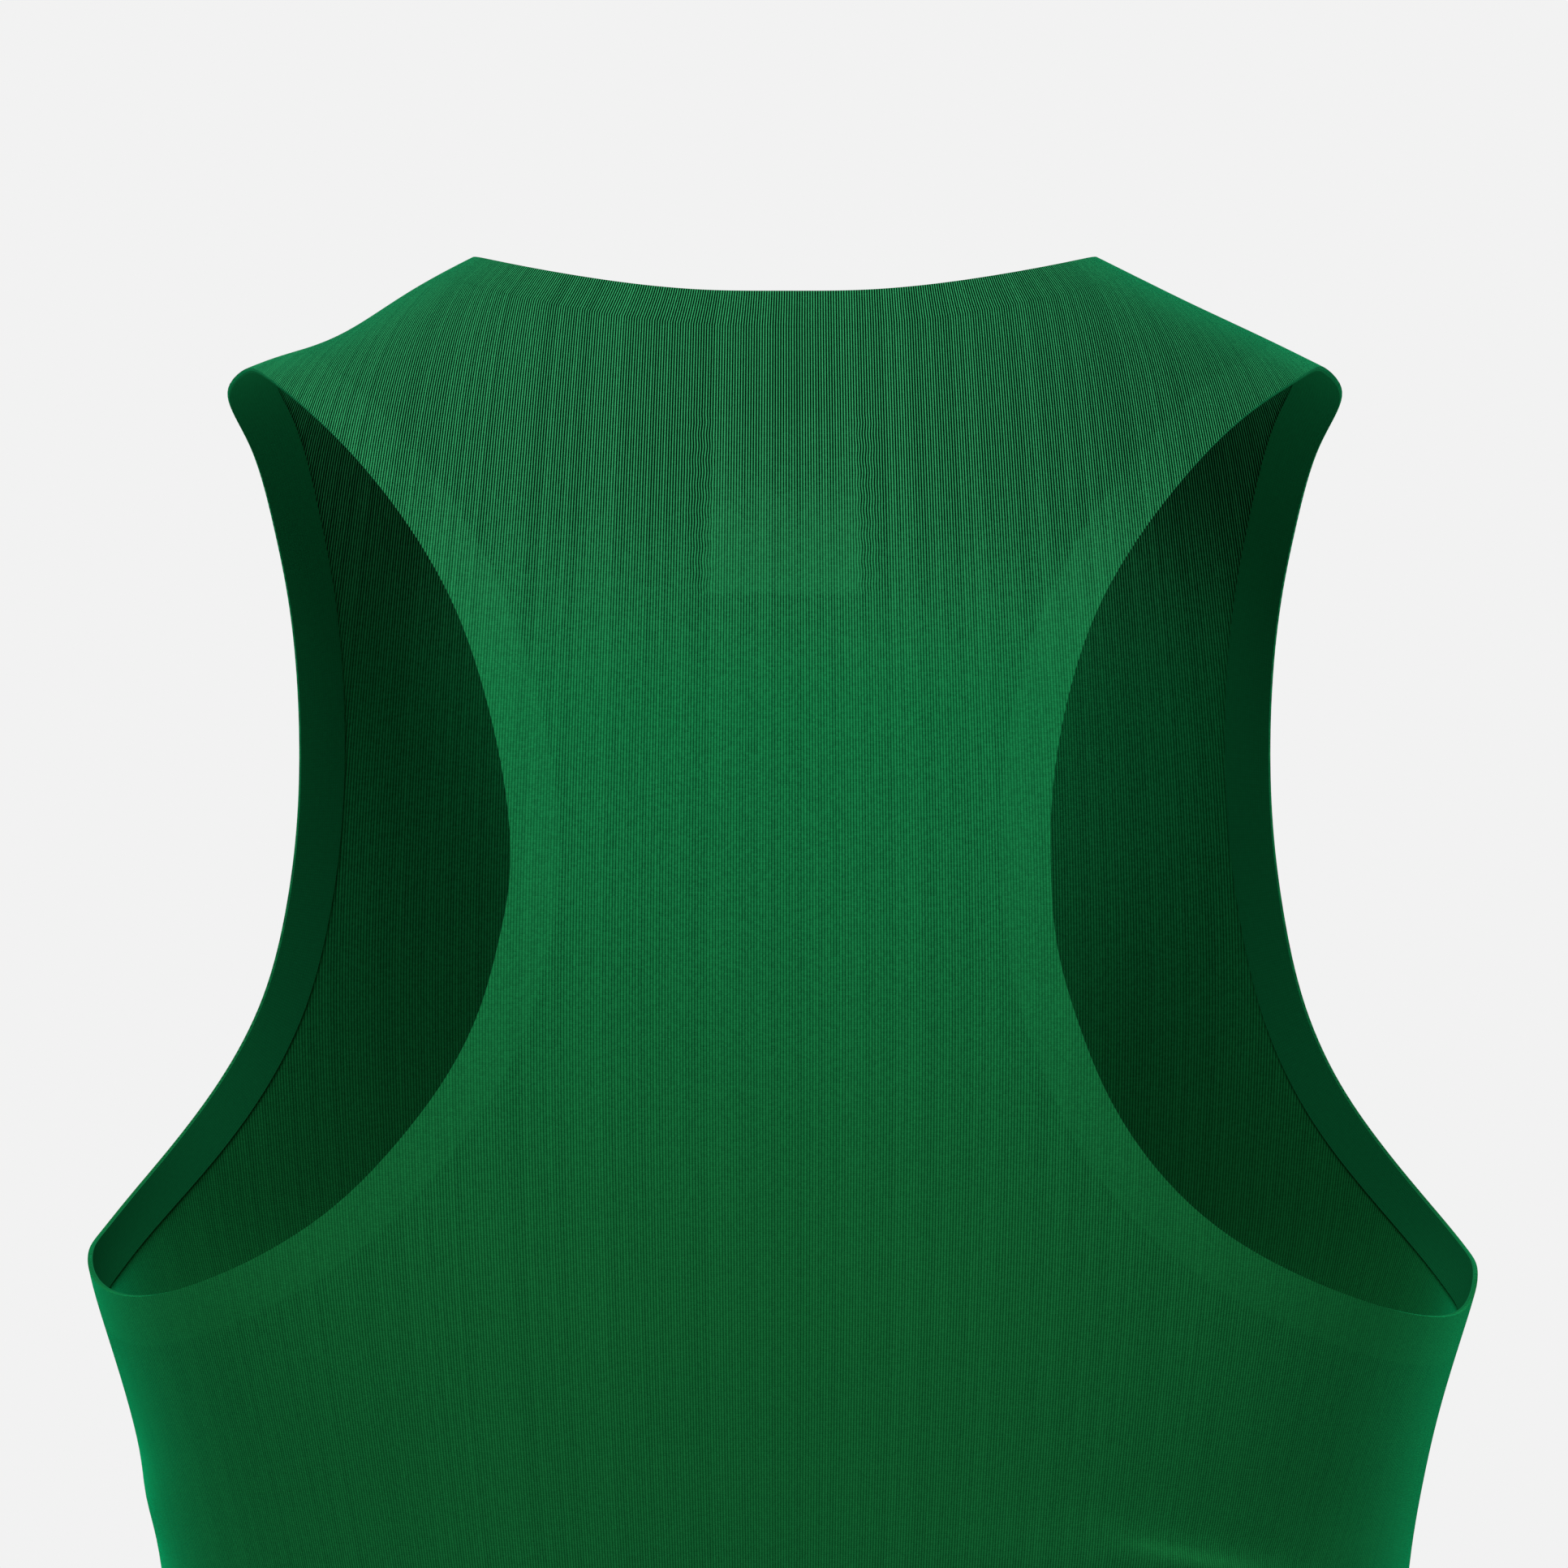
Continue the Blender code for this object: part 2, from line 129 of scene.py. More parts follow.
# The left half of the neck edge: from the centre back, over the shoulder, to the centre front
NECK = (
    # view, half width, height
    ("back", 0, -10.2),
    ("back", 17, -10),
    ("back", 32, -8.8),
    ("back", 47, -6.6),
    ("back", 62, -3.6),
    ("back", 71, -1.3),
    ("side", 0, 0),
    ("front", 74.5, -4),
    ("front", 72, -14),
    ("front", 69, -28),
    ("front", 65, -44),
    ("front", 58, -61),
    ("front", 46.5, -77),
    ("front", 31, -89),
    ("front", 15.5, -95.5),
    ("front", 0, -97.5),
)

# Points in the middle of the two kinds of hole, from which the cloth lies outwards
ARMHOLE_MIDDLE = (125, 0, -140)
NECK_MIDDLE = (0, -20, -30)

# The left shoulder's dip: its middle as x and y, its half sizes, and the heights that it comes in over
SHOULDER_DIP = 3.3
SHOULDER_DIP_PLACE = (109, 0, 15, 30)
SHOULDER_DIP_HEIGHTS = (-70, -40)

# Soft folds that cross the waist: a ridge stands out, a trough has a negative rise
FOLDS = (
    # turn from the centre back in degrees, half spread, height, half tall, rise, slope along the turn
    (-52, 24, -316, 10, 2.2, 4),
    (-46, 26, -337, 11, -1.6, 5),
    (88, 16, -300, 8, 0.8, 0),
    (8, 44, -376, 13, 2.8, -6),
    (-4, 50, -402, 12, -2.0, -4),
    (12, 52, -427, 14, 2.6, 5),
    (70, 22, -398, 15, -1.8, 10),
    (76, 20, -424, 13, 2.2, 12),
    (-78, 22, -388, 14, 2.4, -10),
    (-84, 20, -417, 13, -1.8, -8),
    (162, 34, -408, 15, 2.0, 8),
    (206, 36, -436, 14, 2.2, -9),
)

# Small creases, finer than the solids carry, in the same columns
CREASES = (
    (-49, 9, -313.8, 4.0, 2.4, 4.7),
    (-54, 9, -309, 4, -0.8, 4.7),
)

# How finely a panel is divided: cells of the plain net, and how many finer ones each becomes
FINER = 5
LOW_ROWS = 25
ARMHOLE_ROWS = 20
NECK_COLUMNS = 10

# How the rows run: places across the strap from the last row's turn to the facing strip, the share of a
# row that lies inside that turn, the strip line's step forward at the side seam, the low end of each
# panel's centre line and how its rows spread along it, and how late a plain row bends to the armhole
STRAP_PLACES = (0, 0.196, 0.42, 0.63, 0.82, 1.0)
NECK_SHARE = 0.62
CORNER_STEP = 8.0
CENTRE_LINES = {"back": (-330.0, 1.15), "front": (-300.0, 1.1)}
ROW_BOW = 2.6

# The rows that follow the neck edge: how many, how much sooner each turns, and the steps between them
BEND_ROWS = 8
TURN_PACE = 12.0
CENTRE_STEP = 8.5
TURN_STEP = 4.5

# How many ribs lie between a panel's centre and a point: a sum over powers of the way round, as so many
# RIB_UNITs, and of the level, which is 0 at RIB_MIDDLE and 1 a RIB_SPAN above it. Below RIB_LOW the same
# ribs run down to the hem.
RIB_LOW = -330.0
RIB_HIGH = 0.0
RIB_MIDDLE = -150.0
RIB_SPAN = 150.0
RIB_UNIT = 100.0
RIB_FLOW = (
    # power of the way round, power of the level, ribs
    (1, 0, 145.24),
    (1, 1, 5.22),
    (1, 2, 13.61),
    (1, 3, -2.54),
    (3, 0, -3.08),
    (3, 1, 6.44),
    (3, 2, 6.01),
    (5, 0, -0.76),
    (5, 1, -1.67),
)
COURSES_PER_MM = 1.9

# How the ribs lean over the neck strip: how far aside for each millimetre up at the most, the way round at
# which they lean neither way, and how softly the lean grows from there
NECK_LEAN = 0.34
NECK_LEAN_MIDDLE = -12.0
NECK_LEAN_SOFT = 45.0

# Small steps that slopes and directions are measured over
TURN_PROBE = 0.002
HEIGHT_PROBE = 0.2
WAY_PROBE = 0.5

# Rows that are repeated past both ends of an edge, and the search for its shoulder seam
WRAPPED_ROWS = 3
SEAM_REACH = 40
SEAM_HALVINGS = 40

# The table of ways round the body: its widest turn and top, and how many of each it holds
REACH_TURN = 1.75
REACH_TURNS = 351
REACH_TOP = 12.0
REACH_HEIGHTS = 175

# Marks along the cut edges and the shoulder seams, and the height under which side seams are looked for
EDGE_STEP = 0.8
SEAM_MARKS = 9
SIDE_SEAM_TOP = -200.0
FAR = 100.0

# The strips' nets, points that are one, and the angle past which an edge of a wall stays sharp
STRIP_STEP = 2.5
STRIP_COLUMNS = 5
SAME_POINT = 0.0001
RIM_ANGLE = 0.7

# Where the strips and the inside patch show through. A pair is where a mark starts and where it is whole.
ARMHOLE_STRIP = (ARMHOLE_STRIP_WIDE + 0.5, ARMHOLE_STRIP_WIDE - 0.5)
NECK_LINE_HALF = 1.2
PATCH_MIDDLE = 0.2
PATCH_HALF = 18.4
PATCH_SIDES = (PATCH_HALF + 1, PATCH_HALF - 1)
PATCH_BOTTOM = (-83.4, -82.4)
PATCH_TOP = (-37.2, -43.2)
PATCH_FADE = (-50, -72)
PATCH_FAINT = 0.4

# The ripple of the ribs beside the patch: how high a wave is, how many ribs it moves, and its two sides
RIPPLE = 6.0
RIPPLE_RIBS = 0.35
RIPPLE_INSIDE = (PATCH_HALF - 3, PATCH_HALF)
RIPPLE_OUTSIDE = (PATCH_HALF + 7, PATCH_HALF)

# The seams: the groove, the bonded edges beside it, and the closer cloth around them
SEAM_GROOVE = (0.8, 0)
SEAM_EDGES = (4.5, 3.5)
SEAM_CLOTH = (30, 11)

# The painted highlight on the ridge of the small crease: its height at x = 0, its slope, its two halves and
# its two ends
CREASE_HEIGHT = -286.1
CREASE_SLOPE = 0.245
CREASE_BELOW = (-3.4, 0)
CREASE_ABOVE = (3, 0)
CREASE_INNER = (-74, -88)
CREASE_OUTER = (-118, -104)

# Where the knit, its painted highlight and its painted shade change, by height. The second pair for the
# right shoulder's painted shade goes by x, and ON_BACK by y.
OPEN_KNIT_AND_HIGHLIGHT = (-115, -35)
HIGH_CLOTH = (-310, -100)
MIDDLE_CLOTH = (-260, -150)
LOWER_SHADE = (-120, -260)
RIGHT_SHOULDER_SHADE_UP = (-95, -20)
RIGHT_SHOULDER_SHADE_OUT = (-15, -115)
ON_BACK = (0, 1)

# How strongly the ribs show, what each kind of cloth adds, and the share that others take away
RIBS_PLAIN = 0.44
RIBS_OPEN = 0.48
RIBS_HIGH = 0.14
STRIP_CALM = 0.3
PATCH_CALM = 0.2
SEAM_CALM = 0.55
# Rib strength taken away on the right shoulder, under its painted shade
RIGHT_SHOULDER_SHADE_CALM = 0.1

# The knit: how much narrower an open rib's crest is, how far stitches stray, its grain and its clouds
OPEN_CREST = 1.05
STITCH_STRAY = 0.5
FINE_ACROSS = 2.2
FINE_ALONG = 1.8
CLOUD_SCALE = 0.035

# How much the tone varies from rib to rib and from stitch to stitch, and what the middle cloth adds
RIB_CHANCE = 0.14
STITCH_CHANCE = 0.09
MIDDLE_CHANCE = 0.06

# What each mark adds to the tone, which runs from a gap of the knit, dark with painted shade, at 0 to a
# crest at 1
TONES = {
    "fine grain": 0.34,
    "stitches": 0.05,
    "clouds": 0.04,
    "armhole strip": 0.05,
    "patch": 0.04,
    "neck line": -0.03,
    "open knit": -0.07,
    "seam": -0.17,
    "seam edges": 0.03,
    "seam cloth": -0.08,
    # Painted shade that darkens the right shoulder
    "right shoulder shade": -0.12,
    # A painted highlight along the small crease
    "crease": 0.14,
}

# What the marks add to the relief, then its strength and its depth on the cloth and on the tape
FINE_RELIEF = 0.25
STITCH_RELIEF = 0.12
SEAM_RELIEF = -0.7
CLOTH_RELIEF = (0.35, 0.18)
TAPE_RELIEF = (0.25, 0.08)

# Roughness, and what the ribs' crests, the tape's grain and the floor's speckle add to it
CLOTH_ROUGH = 0.72
CREST_ROUGH = -0.06
TAPE_ROUGH = 0.66
TAPE_GRAIN_ROUGH = 0.08
FLOOR_ROUGH = 0.8
SPECKLE_ROUGH = 0.1

# The tape: stitches to the millimetre, how fine its grain is, its tone and what those two add to it
TAPE_STITCHES = 1.6
TAPE_GRAIN = 0.8
TAPE_TONE = 0.35
TAPE_STITCH_TONE = 0.3
TAPE_GRAIN_TONE = 0.4

# Colours
# The gap colours are painted shade in the grooves between the ribs
GAP_SHADE_COLOUR = (0.0003, 0.005, 0.0015, 1)
CREST_COLOUR = (0.0130, 0.280, 0.085, 1)
# The open knit's paler, greyer crests are a painted highlight of the overhead light on the ribs
OPEN_CREST_HIGHLIGHT_COLOUR = (0.0370, 0.362, 0.130, 1)
LOW_GAP_SHADE_COLOUR = (0.0004, 0.008, 0.002, 1)
# The low crests are darker: painted shade of the light falling off towards the bottom
SHADED_LOW_CREST_COLOUR = (0.0125, 0.215, 0.054, 1)
TAPE_DARK = (0.0040, 0.105, 0.034, 1)
TAPE_LIGHT = (0.0080, 0.175, 0.058, 1)
FLOOR_COLOUR = (0.5, 0.5, 0.5, 1)
FLOOR_GLOW_COLOUR = (1, 1, 1, 1)

# What is the same all over the cloth: no gloss, and a soft sheen of its own green
CLOTH_GLOSS = {
    "Specular IOR Level": 0.0,
    "Sheen Weight": 0.45,
    "Sheen Roughness": 0.35,
    "Sheen Tint": (0.0, 1.0, 0.38, 1),
}

# Each sheet's flat size and area in metres
FLAT = {
    "back": ((0.46, 0.70), 0.215),
    "front": ((0.46, 0.70), 0.228),
    "neck": ((0.65, 0.010), None),
    "left": ((0.79, 0.012), None),
    "right": ((0.79, 0.012), None),
}

# The light in the room
SURROUND = 0.888
SURROUND_LIGHT = 0.12
LIGHT_AIM = (0.0, 0.0, -0.15)
LIGHTS = (
    # name, place in metres, width, height, power in watts
    ("overhead", (0.18, 1.2, 1.5), 1.2, 0.9, 46.0),
    ("rim_left", (1.5, -1.0, -0.03), 0.5, 1.15, 11.8),
    ("rim_right", (-1.5, -1.0, -0.03), 0.5, 1.15, 16.4),
    ("front_fill", (0.0, -2.0, 0.6), 1.6, 1.6, 12.0),
)

# The floor, round and just under the hem
FLOOR = -681.0
FLOOR_RADIUS = 1300.0
FLOOR_SEGMENTS = 96
FLOOR_GLOW = 0.3
FLOOR_SPECKLE = 0.01

# The camera, level behind the back
FRAME_WIDE = 380.6
CAMERA_AWAY = 3000.0
CAMERA_ASIDE = 0.2
CAMERA_HEIGHT = -127.7
SENSOR = 36.0


class Spline:
    """A natural cubic spline through values at rising places."""

    def __init__(self, places, values):
        self.places = np.asarray(places, float)
        self.values = np.asarray(values, float)
        gaps = np.diff(self.places)
        rises = np.diff(self.values) / gaps
        count = len(self.places)
        system = np.eye(count)
        wanted = np.zeros(count)
        for k in range(1, count - 1):
            system[k, k - 1:k + 2] = gaps[k - 1], 2 * (gaps[k - 1] + gaps[k]), gaps[k]
            wanted[k] = 6 * (rises[k] - rises[k - 1])
        self.bends = np.linalg.solve(system, wanted)

    def __call__(self, place):
        last = len(self.places) - 2
        k = np.clip(np.searchsorted(self.places, place) - 1, 0, last)
        gap = self.places[k + 1] - self.places[k]
        after = (place - self.places[k]) / gap
        before = 1 - after
        line = before * self.values[k] + after * self.values[k + 1]
        bend = (before ** 3 - before) * self.bends[k] + (after ** 3 - after) * self.bends[k + 1]
        return line + gap ** 2 / 6 * bend


def ring_columns():
    """How the half width, the two depths and the squareness run with height."""
    rows = np.array(RINGS[::-1], float)
    return [Spline(rows[:, 0], rows[:, column]) for column in range(1, rows.shape[1])]


HALF_WIDTH, BACK_DEPTH, FRONT_DEPTH, SQUARENESS = ring_columns()


def ease(value, start, end):
    """Runs smoothly from 0 at start to 1 at end."""
    share = np.clip((value - start) / (end - start), 0, 1)
    return share * share * (3 - 2 * share)


def hump(value, middle, half):
    """A soft bump of height 1."""
    return np.exp(-((value - middle) / half) ** 2)


def fold_rise(turn, height):
    """How far the folds and creases move the cloth outwards at a turn and height."""
    rise = 0
    for middle, spread, level, tall, size, slope in FOLDS + CREASES:
        away = (np.degrees(turn) - middle + 180) % 360 - 180
        rise = rise + size * hump(away, 0, spread) * hump(height, level + slope * away / spread, tall)
    return rise


def place(turn, height):
    """A point of the cloth's outer face. The turn is 0 at the centre back and grows towards +X."""
    across, along = np.sin(turn), np.cos(turn)
    depth = np.where(along > 0, BACK_DEPTH(height), FRONT_DEPTH(height))
    square = SQUARENESS(height)
    sides = np.abs(across / HALF_WIDTH(height)) ** square + np.abs(along / depth) ** square
    reach = sides ** (-1 / square) + fold_rise(turn, height)
    x, y = reach * across, reach * along
    middle_x, middle_y, half_x, half_y = SHOULDER_DIP_PLACE
    dip = SHOULDER_DIP * hump(x, middle_x, half_x) * hump(y, middle_y, half_y)
    return np.stack((x, y, height - dip * ease(height, *SHOULDER_DIP_HEIGHTS)), axis=-1)


def slopes(turn, height):
    """How a point moves for each radian of turn, and for each millimetre of height."""
    by_turn = place(turn + TURN_PROBE, height) - place(turn - TURN_PROBE, height)
    by_height = place(turn, height + HEIGHT_PROBE) - place(turn, height - HEIGHT_PROBE)
    return by_turn / (2 * TURN_PROBE), by_height / (2 * HEIGHT_PROBE)


def facing(turn, height):
    """The outward direction of the cloth. Turn grows clockwise, as seen from above."""
    by_turn, by_height = slopes(turn, height)
    normal = np.cross(by_height, by_turn)
    return normal / np.linalg.norm(normal, axis=-1, keepdims=True)


def turn_at(view, half_width, height):
    """The turn of a point that is given by its half width as seen from the back or the front."""
    if view == "side":
        return math.pi / 2
    depth = BACK_DEPTH(height) if view == "back" else -FRONT_DEPTH(height)
    square = SQUARENESS(height)
    along = depth * (1 - (half_width / HALF_WIDTH(height)) ** square) ** (1 / square)
    return math.atan2(half_width, along)


class Edge:
    """A cut edge as turn and height along its length, with the middle of the hole that it goes round."""

    def __init__(self, turns, heights, middle, shoulder_row):
        points = np.array([place(turn, height) for turn, height in zip(turns, heights)])
        steps = np.linalg.norm(np.diff(points, axis=0), axis=1)
        self.middle = np.array(middle, float)
        ways = np.concatenate(([0], np.cumsum(steps)))
        self.turn = Spline(ways, turns)
        self.height = Spline(ways, heights)
        self.start, self.end = ways[WRAPPED_ROWS], ways[-WRAPPED_ROWS - 1]
        shoulder = ways[WRAPPED_ROWS + shoulder_row]
        self.seam = self.seam_way(shoulder, shoulder + SEAM_REACH)

    def at(self, way):
        """The turn and height at a way along the edge."""
        return self.turn(way), self.height(way)

    def inland(self, way, distance):
        """The turn and height at a distance into the cloth, square to the edge and away from the hole."""
        way, distance = np.broadcast_arrays(way, distance)
        turn, height = self.at(way)
        run = place(*self.at(way + WAY_PROBE)) - place(*self.at(way - WAY_PROBE))
        across = np.cross(facing(turn, height), run)
        across = across / np.linalg.norm(across, axis=-1, keepdims=True)
        away = place(turn, height) - self.middle
        across = across * np.sign((across * away).sum(-1, keepdims=True)) * distance[..., None]
        moves = np.linalg.pinv(np.stack(slopes(turn, height), axis=-1)) @ across[..., None]
        return turn + moves[..., 0, 0], height + moves[..., 1, 0]

    def seam_way(self, low, high):
        """Where the edge crosses the shoulder seam, between two ways along it."""
        for _ in range(SEAM_HALVINGS):
            middle = (low + high) / 2
            if place(*self.at(middle))[1] > -SEAM_FORWARD:
                low = middle
            else:
                high = middle
        return low


def armhole_edge(side):
    """The armhole. It is closed, so rows from its other end are repeated past each of its ends."""
    rows = [(row[0], *(row[1:3] if side > 0 else row[3:5])) for row in ARMHOLE]
    turns = [side * turn_at(*row) for row in rows]
    heights = [row[2] for row in rows]
    closed_turns = turns[-WRAPPED_ROWS:] + turns + turns[:WRAPPED_ROWS + 1]
    closed_heights = heights[-WRAPPED_ROWS:] + heights + heights[:WRAPPED_ROWS + 1]
    middle = (side * ARMHOLE_MIDDLE[0], *ARMHOLE_MIDDLE[1:])
    return Edge(closed_turns, closed_heights, middle, [row[0] for row in rows].index("side", 1))


def neck_edge(side):
    """Half of the neck edge, run on past both centres by its own mirror image."""
    turns = [turn_at(*row) for row in NECK]
    heights = [row[2] for row in NECK]
    before, after = slice(WRAPPED_ROWS, 0, -1), slice(-2, -2 - WRAPPED_ROWS, -1)
    turns = [-turn for turn in turns[before]] + turns + [2 * math.pi - turn for turn in turns[after]]
    heights = heights[before] + heights + heights[after]
    return Edge([side * turn for turn in turns], heights, NECK_MIDDLE,
                [row[0] for row in NECK].index("side"))


ARMHOLES = {side: armhole_edge(side) for side in (1, -1)}
NECKS = {side: neck_edge(side) for side in (1, -1)}


def panel_angle(view, turn):
    """An angle that is 0 at the panel's own centre and grows towards +X, from a turn."""
    return turn if view == "back" else np.where(turn > 0, math.pi - turn, -math.pi - turn)


def panel_turn(view, angle):
    """A turn from a panel's own angle."""
    return angle if view == "back" else math.pi - angle


def mix(one, other, share):
    """The points of angle and height that lie a share of the way from one to the other."""
    return one + (other - one) * share


def steps_across(first, last, count):
    """Points evenly spaced from one to another, without the first."""
    return mix(first, last, np.linspace(0, 1, count + 1)[1:, None])


def neck_point(view, side, way, distance=0.0):
    """Angle and height at the neck edge, or inland of it. The way is 0 at the centre, 1 at the seam."""
    edge = NECKS[side]
    centre = edge.start if view == "back" else edge.end
    turn, height = edge.inland(centre + (edge.seam - centre) * way, distance)
    return np.stack((np.where(way > 0, panel_angle(view, turn), 0.0), height), axis=-1)


def seam_point(view, side, tip, distance):
    """A point of the shoulder seam at a distance from its armhole end."""
    neck = neck_point(view, side, 1.0)
    ends = [place(panel_turn(view, angle), height) for angle, height in (tip, neck)]
    return mix(tip, neck, distance / np.linalg.norm(ends[1] - ends[0]))


def armhole_points(view, side):
    """The armhole's edge and strip line as angles and heights, from the side up to the shoulder seam."""
    edge = ARMHOLES[side]
    bottom = edge.start if view == "back" else edge.end
    ways = np.linspace(bottom, edge.seam, ARMHOLE_ROWS * FINER + 1)
    forward = np.zeros(len(ways))
    forward[:FINER] = np.linspace(1, 0, FINER + 1)[:-1] * (CORNER_STEP if view == "back" else -CORNER_STEP)
    turns, heights = edge.at(ways)
    cut = np.stack((panel_angle(view, turns), heights), axis=-1)
    turns, heights = edge.inland(ways + forward, ARMHOLE_STRIP_WIDE)
    strip = np.stack((panel_angle(view, turns), heights), axis=-1)
    seam = seam_point(view, side, cut[-1], ARMHOLE_STRIP_WIDE)
    for step in range(FINER):
        strip[-1 - step] = mix(seam, strip[-1 - step], step / FINER)
    return cut, strip


def neck_row(view, side, rows_down, centre, strip):
    """One row from the panel's centre to the facing strip, at a number of rows down from the top.

    The first rows run beside the neck edge and then turn to cross the strap. Lower ones are plain bows.
    """
    below = max(rows_down - 1, 0)
    bend = max(0.0, 1 - (below / (BEND_ROWS - 1)) ** 2)
    ways = np.linspace(0, 1, NECK_COLUMNS * FINER + 1)
    strap = np.interp(np.arange(1, (len(STRAP_PLACES) - 1) * FINER + 1) / FINER,
                      range(len(STRAP_PLACES)), STRAP_PLACES)
    shares = np.concatenate((NECK_SHARE * ways, NECK_SHARE + (1 - NECK_SHARE) * strap))
    plain = np.stack((strip[0] * shares, mix(centre[1], strip[1], shares ** ROW_BOW)), axis=-1)
    if bend == 0:
        return plain
    length = abs(NECKS[side].seam - (NECKS[side].start if view == "back" else NECKS[side].end))
    reach = 1 - rows_down * TURN_PACE / length
    inland = NECK_STRIP_WIDE * min(rows_down, 1) + below * mix(CENTRE_STEP, TURN_STEP, ways ** 2)
    beside = neck_point(view, side, ways * reach, inland)
    bent = np.concatenate((beside, mix(beside[-1], strip, strap[:, None])))
    return mix(plain, bent, bend)


def panel_half(view, side):
    """Half a panel's net of angles and heights, rows up from the hem, columns out from the centre."""
    top = neck_point(view, side, 0.0)[1]
    low, ease_off = CENTRE_LINES[view]
    upper = []
    for row, (edge, strip) in enumerate(zip(*armhole_points(view, side))):
        rows_down = ARMHOLE_ROWS - row / FINER
        centre = (0.0, mix(top, low, (rows_down / ARMHOLE_ROWS) ** ease_off))
        line = neck_row(view, side, rows_down, centre, strip)
        upper.append(np.concatenate((line, steps_across(strip, edge, FINER))))
    first = upper[0]
    hem = np.stack((np.linspace(0, side * math.pi / 2, len(first)), np.full(len(first), HEM)), axis=-1)
    corner = 1 - ARMHOLE_STRIP_WIDE / (first[-1][1] - HEM)
    shares = [*np.linspace(0, corner, (LOW_ROWS - 1) * FINER + 1),
              *np.linspace(corner, 1, FINER + 1)[1:-1]]
    return np.array([mix(hem, first, share) for share in shares] + upper)


def panel_net(view):
    """A whole panel's net, each row from left to right as it is looked at."""
    first, second = (1, -1) if view == "back" else (-1, 1)
    return np.concatenate((panel_half(view, first)[:, ::-1], panel_half(view, second)[:, 1:]), axis=1)


def ring_reach(view):
    """The way round the body in millimetres from a panel's centre, by angle and height."""
    angles = np.linspace(-REACH_TURN, REACH_TURN, REACH_TURNS)
    heights = np.linspace(HEM, REACH_TOP, REACH_HEIGHTS)
    points = place(panel_turn(view, angles[None, :]), heights[:, None])
    steps = np.linalg.norm(np.diff(points, axis=1), axis=2)
    ways = np.concatenate((np.zeros((len(heights), 1)), np.cumsum(steps, axis=1)), axis=1)
    return ways - ways[:, REACH_TURNS // 2][:, None]


def looked_up(table, angle, height):
    """A value between the entries of a table that ring_reach has made."""
    column = (angle + REACH_TURN) / (2 * REACH_TURN) * (REACH_TURNS - 1)
    row = (height - HEM) / (REACH_TOP - HEM) * (REACH_HEIGHTS - 1)
    left = np.clip(np.floor(column).astype(int), 0, REACH_TURNS - 2)
    low = np.clip(np.floor(row).astype(int), 0, REACH_HEIGHTS - 2)
    across, up = column - left, row - low
    lower = table[low, left] * (1 - across) + table[low, left + 1] * across
    upper = table[low + 1, left] * (1 - across) + table[low + 1, left + 1] * across
    return lower * (1 - up) + upper * up


def depth_from_marks(marks, points):
    """How far each point lies from the nearest mark."""
    near = KDTree(len(marks))
    for number, mark in enumerate(marks):
        near.insert(mark, number)
    near.balance()
    depths = [near.find(point)[2] for point in points.reshape(-1, 3)]
    return np.array(depths).reshape(points.shape[:-1])


def edge_points(edge):
    """Points closely spaced along a cut edge."""
    ways = np.arange(edge.start, edge.end + EDGE_STEP, EDGE_STEP)
    return place(edge.turn(ways), edge.height(ways))


def depth_from(edges, points):
    """How far each point lies from the nearest of the cut edges."""
    return depth_from_marks(np.concatenate([edge_points(edge) for edge in edges]), points)


def depth_from_seams(table, net, points):
    """How far each point of a panel lies from its side seams or its shoulder seams."""
    angles, heights = net[..., 0], net[..., 1]
    side = np.abs(looked_up(table, np.where(angles < 0, -math.pi / 2, math.pi / 2), heights))
    to_side = np.where(heights < SIDE_SEAM_TOP, side - np.abs(looked_up(table, angles, heights)), FAR)
    strap = len(STRAP_PLACES) * FINER
    shares = np.linspace(0, 1, SEAM_MARKS)[:, None, None]
    marks = []
    for line in (points[-1, :strap + 1], points[-1, -strap - 1:]):
        marks.append(mix(line[None, :-1], line[None, 1:], shares).reshape(-1, 3))
    return np.minimum(to_side, depth_from_marks(np.concatenate(marks), points))


def rib_count(table, angle, height, neck_depth):
    """How many ribs lie between a panel's centre and a point. Whole numbers are the ribs' crests."""
    flow_height = np.clip(height, RIB_LOW, RIB_HIGH)
    half = np.full_like(angle, math.pi / 2)
    narrowing = np.where(height < RIB_LOW,
                         looked_up(table, half, flow_height) / looked_up(table, half, height), 1.0)
    way = looked_up(table, angle, height) * narrowing
    aside = (way - NECK_LEAN_MIDDLE) / NECK_LEAN_SOFT
    lean = NECK_LEAN * np.tanh(aside * np.abs(aside))
    way = way + lean * np.clip(NECK_STRIP_WIDE - neck_depth, 0, None)
    across = way / RIB_UNIT
    level = (flow_height - RIB_MIDDLE) / RIB_SPAN
    return sum(size * across ** power * level ** tilt for power, tilt, size in RIB_FLOW)


def scene_object(name, data):
    """A new object at the origin, with its mesh, lamp or lens."""
    thing = bpy.data.objects.new(name, data)
    bpy.context.collection.objects.link(thing)
    return thing


